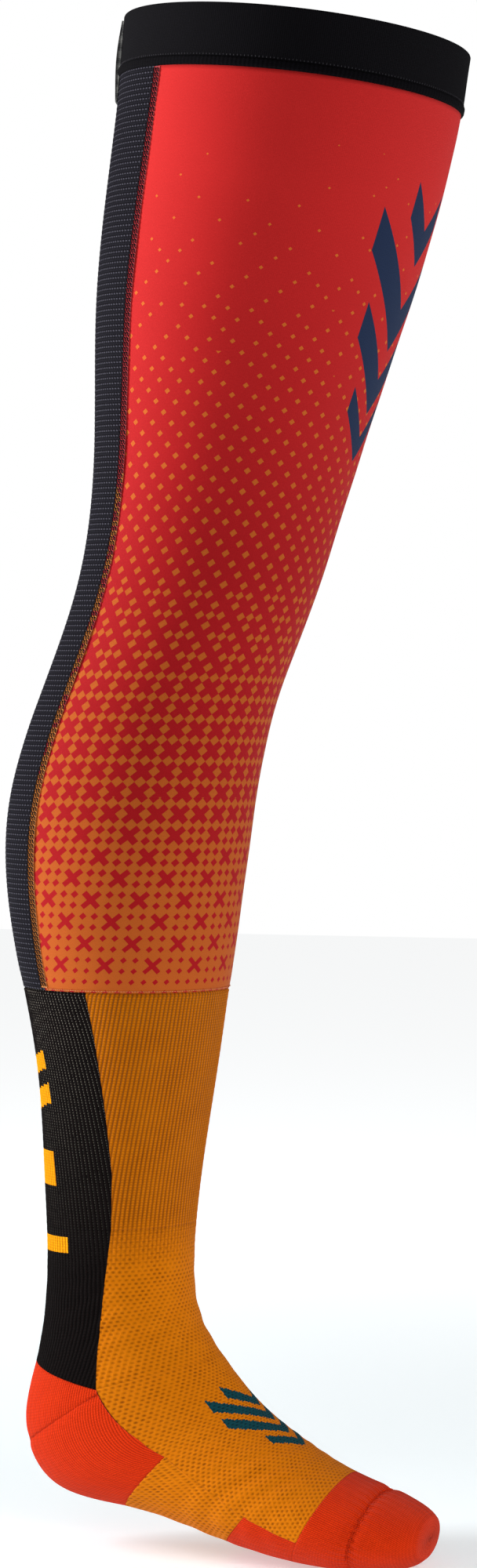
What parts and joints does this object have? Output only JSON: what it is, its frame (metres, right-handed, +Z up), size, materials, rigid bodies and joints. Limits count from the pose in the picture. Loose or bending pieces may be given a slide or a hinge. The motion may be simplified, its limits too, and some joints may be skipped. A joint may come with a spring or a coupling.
{
  "type": "knee brace sock",
  "caption": "Thigh-high motocross brace sock: elastic top band, printed compression sleeve with mesh back, and a knitted sock with padded heel and toe.",
  "frame": {"origin": "centre of the leg opening, at the top edge of the elastic band", "axes": "+Z up the leg toward the hip, +X forward toward the toes, +Y to the wearer's left; a sock for the right leg"},
  "size_m": [0.2666, 0.194, 0.859],
  "materials": {
    "band_elastic": "fine ribbed woven elastic, matt black",
    "lining_elastic": "brushed inner face of the elastic",
    "silicone": "printed silicone gripper, satin",
    "compression_jersey": "smooth sublimation-printed polyester elastane jersey, red with an orange halftone",
    "spacer_mesh": "charcoal warp-knit mesh with horizontal ribs",
    "seam_thread": "black textured polyester thread",
    "woven_label": "folded woven tape, grey and black",
    "orange_knit": "ribbed and mesh-knitted polyester sock yarn, orange",
    "black_knit": "ribbed sock yarn, warm black",
    "red_knit": "dense cushioned sock yarn, red-orange"
  },
  "bodies": {
    "thigh": {"elastic_band": "band_elastic", "band_lining": "lining_elastic", "silicone_grip_rings": "silicone", "band_binding": "band_elastic", "band_topstitch": "seam_thread", "pull_loop": "woven_label", "front_panel_thigh": "compression_jersey", "rear_mesh_thigh": "spacer_mesh", "front_panel_knee": "compression_jersey", "rear_mesh_knee": "spacer_mesh", "outer_flatlock_seam": "seam_thread", "inner_flatlock_seam": "seam_thread"},
    "shin": {"front_panel_calf": "compression_jersey", "rear_mesh_calf": "spacer_mesh", "hem_stitching": "seam_thread", "sock_cuff": "black_knit", "leg_back_knit": "black_knit", "leg_front_knit": "orange_knit", "achilles_knit": "black_knit", "ankle_mesh_knit": "orange_knit"},
    "foot": {"heel_upper_knit": "red_knit", "heel_lower_knit": "red_knit", "instep_knit": "orange_knit", "arch_knit": "orange_knit", "ball_patch": "red_knit", "toe_band": "red_knit", "toe_cap": "red_knit", "toe_seam": "red_knit"}
  },
  "joints": [
    {"name": "knee_flex", "type": "hinge", "parent": "thigh", "child": "shin", "pos_m": [-0.065, 0, -0.312], "axis": [0, 1, 0], "range_deg": [-10, 90], "deforming": ["front_panel_knee", "rear_mesh_knee", "outer_flatlock_seam", "inner_flatlock_seam"]},
    {"name": "ankle_flex", "type": "hinge", "parent": "shin", "child": "foot", "pos_m": [-0.102, 0, -0.742], "axis": [0, 1, 0], "range_deg": [-25, 20], "deforming": ["achilles_knit", "ankle_mesh_knit"]}
  ]
}
